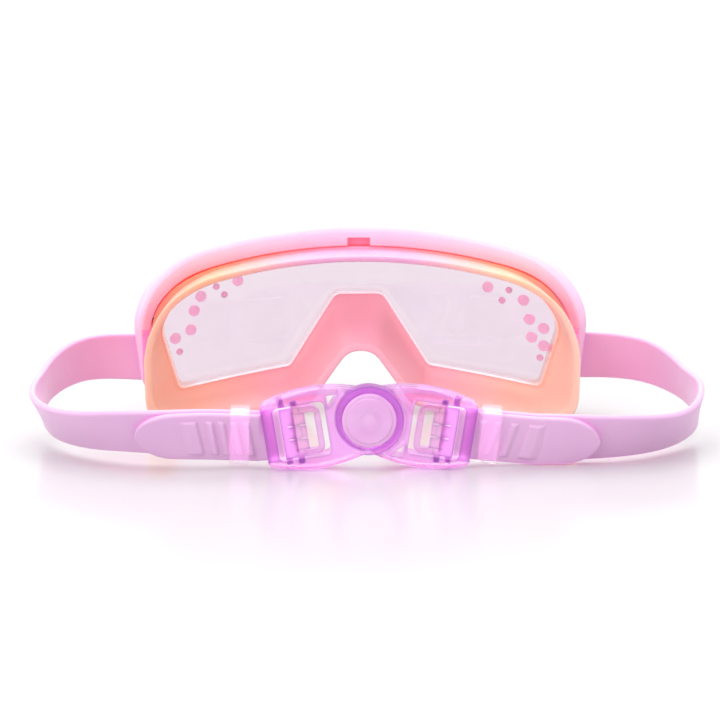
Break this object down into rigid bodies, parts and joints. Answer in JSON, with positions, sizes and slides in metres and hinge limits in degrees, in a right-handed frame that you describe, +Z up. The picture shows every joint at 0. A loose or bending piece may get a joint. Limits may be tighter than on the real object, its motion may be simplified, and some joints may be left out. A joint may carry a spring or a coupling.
{
  "type": "swim goggles",
  "caption": "Child's swim mask goggles: one wrap-around lens in a rounded frame, a soft face skirt, a flat strap and a clear two-wing back buckle.",
  "frame": {"origin": "centre of the object's outline on the surface that it rests on", "axes": "+X to the wearer's right, +Y the way the wearer looks, +Z up"},
  "size_m": [0.2229, 0.1215, 0.064],
  "materials": {
    "frame_plastic": "satin moulded, lilac pink",
    "lens_clear": "clear polished, faint pink-lilac tint",
    "dot_pink": "gloss print",
    "dot_mauve": "gloss print",
    "skirt_silicone": "soft satin silicone, orange to pink blend",
    "strap_silicone": "satin silicone, lilac pink",
    "keeper_clear": "clear soft plastic",
    "buckle_clear": "clear purple, polished",
    "buckle_cap": "clear purple, frosted behind"
  },
  "bodies": {
    "root": {"frame": "frame_plastic", "lens": "lens_clear", "dots_large_left": "dot_pink", "dots_large_right": "dot_pink", "dots_small_left": "dot_mauve", "dots_small_right": "dot_mauve", "skirt": "skirt_silicone", "strap_left": "strap_silicone", "strap_right": "strap_silicone", "buckle_left_half": "buckle_clear", "strap_bar_left": "buckle_clear", "hub_rivet": "buckle_clear", "hub_cap": "buckle_cap"},
    "right_wing": {"buckle_right_half": "buckle_clear", "strap_bar_right": "buckle_clear"},
    "left_lever": {"grip_lever_left": "buckle_clear"},
    "right_lever": {"grip_lever_right": "buckle_clear"},
    "left_keeper": {"strap_keeper_left": "keeper_clear"},
    "right_keeper": {"strap_keeper_right": "keeper_clear"}
  },
  "joints": [
    {"name": "hub_swivel", "type": "hinge", "parent": "root", "child": "right_wing", "pos_m": [-0.0006, -0.0555, 0.016], "axis": [0, -1, 0], "range_deg": [-8, 8], "deforming": ["strap_right"]},
    {"name": "left_lever_hinge", "type": "hinge", "parent": "root", "child": "left_lever", "pos_m": [-0.02292, -0.0591, 0.01247], "axis": [-0.1564, 0, 0.9877], "range_deg": [0, 20], "stiffness_Nm_per_rad": 0.02, "springref_deg": -5.73},
    {"name": "right_lever_hinge", "type": "hinge", "parent": "right_wing", "child": "right_lever", "pos_m": [0.02172, -0.0591, 0.01247], "axis": [-0.1564, 0, -0.9877], "range_deg": [0, 20], "stiffness_Nm_per_rad": 0.02, "springref_deg": -5.73},
    {"name": "left_keeper_slide", "type": "slide", "parent": "root", "child": "left_keeper", "axis": [-0.9994, 0, 0.0349], "range_m": [-0.0015, 0.006]},
    {"name": "right_keeper_slide", "type": "slide", "parent": "right_wing", "child": "right_keeper", "axis": [0.9954, 0, -0.0954], "range_m": [-0.0008, 0.008]}
  ]
}
